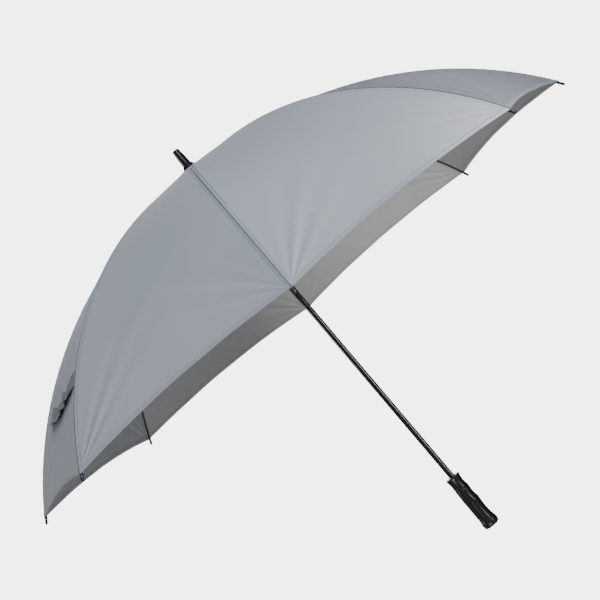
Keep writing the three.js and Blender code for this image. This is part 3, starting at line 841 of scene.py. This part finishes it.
def add_handle():
    angles = np.arange(96) * 2 * math.pi / 96

    def level(radius, z):
        return np.stack([radius * np.cos(angles), radius * np.sin(angles), np.full(len(angles), z)], axis=-1)

    top, base = grip_radius(GRIP_TOP, angles), grip_radius(GRIP_LOW, angles)
    rings = [level(6.45, GRIP_TOP), level(7.2, 119.4)]
    rings += [level(top - inset, z) for inset, z in ((1.2, 120.0), (0.4, 119.8), (0, GRIP_TOP))]
    cross_slot = np.exp(-(((angles - math.radians(292)) / 0.42) ** 4))
    for z in np.linspace(118.2, GRIP_LOW, 110):
        radius = grip_radius(z, angles) - 0.35 * bell(z, 113.4, 0.7) - 1.2 * bell(z, 91, 1.1) * cross_slot
        rings.append(level(radius, z))
    rings += [level(base - inset, z) for inset, z in ((0.3, 5.05), (0.9, 5.0), (9.0, 5.0))]
    grip = Shape().grid(np.array(rings), wrap=True)
    put(grip.build("grip_moulding", [RUBBER], 40), "shaft_assembly", "grip_black", "handle_grip")

    rim = float(grip_radius(5.0, math.pi)) - 0.4
    profile = [(0, 0), (rim - 5, 0), (rim - 3.4, 0.15), (rim - 1.7, 0.9), (rim - 0.6, 2.2), (rim - 0.1, 3.6),
               (rim, 4.4), (rim - 0.3, 4.6), (0, 4.6)]
    cap = revolve(Shape(), profile, 96)
    put(cap.build("end_cap", [PLASTIC]), "shaft_assembly", "black_plastic", "handle_end_cap")


# ---- Room ----
def floor_sheet(name, z, glow):
    n = Nodes(name)
    tone = n.noise(n.node("ShaderNodeTexCoord").outputs["Object"], 3.0)
    colour = n.tint(tone, grey(0.86), grey(0.9))
    paper = n.finish(n.surface(Base_Color=colour, Roughness=0.9, Emission_Strength=glow))
    sheet = Shape().add([(*p, z) for p in ring(FLOOR_R, 96)], [tuple(range(96))]).build(name, [paper])
    return sheet, paper


def add_room():
    floor_sheet("floor", FLOOR_Z, 0.0)
    # The floor is too far below the lamps to look pale, so the camera sees a glowing sheet that lights nothing.
    sheet, paper = floor_sheet("floor_colour", FLOOR_Z + 1, 3.4)
    sheet.visible_diffuse = sheet.visible_glossy = sheet.visible_transmission = sheet.visible_shadow = False
    paper.cycles.emission_sampling = "NONE"

    world = bpy.data.worlds.new("studio")
    bpy.context.scene.world = world
    world.use_nodes = True
    nodes, links = world.node_tree.nodes, world.node_tree.links
    nodes.clear()
    seen, ambient = nodes.new("ShaderNodeBackground"), nodes.new("ShaderNodeBackground")
    seen.inputs["Color"].default_value = (1, 1, 1, 1)
    seen.inputs["Strength"].default_value = 5.0
    ambient.inputs["Color"].default_value = (0.92, 0.95, 1, 1)
    ambient.inputs["Strength"].default_value = 0.05
    path, mix = nodes.new("ShaderNodeLightPath"), nodes.new("ShaderNodeMixShader")
    output = nodes.new("ShaderNodeOutputWorld")
    links.new(path.outputs["Is Camera Ray"], mix.inputs[0])
    links.new(ambient.outputs[0], mix.inputs[1])
    links.new(seen.outputs[0], mix.inputs[2])
    links.new(mix.outputs[0], output.inputs[0])


def add_light(name, azimuth_deg, elevation_deg, distance, size, power, colour, target=(0, 0, 0.72), height=None):
    a, e = math.radians(azimuth_deg), math.radians(elevation_deg)
    way = Vector((math.cos(a) * math.cos(e), math.sin(a) * math.cos(e), math.sin(e)))
    light = bpy.data.objects.new(name, bpy.data.lights.new(name, "AREA"))
    light.data.shape = "ELLIPSE"
    light.data.size = size
    light.data.size_y = height or size
    light.data.energy = power
    light.data.color = colour
    light.location = Vector(target) + way * distance
    light.rotation_mode = "QUATERNION"
    light.rotation_quaternion = (-way).to_track_quat("-Z", "Y")
    bpy.context.scene.collection.objects.link(light)
    return light


def add_bounce(azimuth_deg, elevation_deg, distance, cone_deg, power, colour, target):
    """A soft-edged spot, for the light thrown back up under the canopy."""
    lamp = add_light("bounce", azimuth_deg, elevation_deg, distance, 0.24, power, colour, target)
    lamp.data.type = "SPOT"
    spot = lamp.data
    spot.spot_size = math.radians(cone_deg)
    spot.spot_blend = 1.0
    spot.shadow_soft_size = 0.12


def add_lights():
    add_light("key", 284, 27, 4.0, 2.0, 52, (0.8, 0.9, 1))
    add_light("high", 300, 48, 4.0, 2.0, 168, (0.88, 0.91, 1))
    add_light("under", 250, -40, 3.0, 1.2, 26, (1, 0.95, 0.92))
    add_light("streak", 314, -3, 4.0, 0.5, 24, (1, 1, 1), (0, 0, 0.4), 1.8)
    add_light("back", 95, 12, 4.0, 2.5, 40, (0.97, 0.98, 1))
    add_light("side", 175, 8, 4.0, 2.0, 60, (0.97, 0.98, 1))
    add_bounce(281, -10, 2.8, 14, 340, (1, 0.95, 0.93), (0.27, 0.5, 0.63))


for k in RIBS:
    add_rib(k)
    add_stretcher(k)
add_tapes()
add_canopy()
add_strap()
add_middle()
add_ferrule()
add_handle()
add_room()
add_lights()
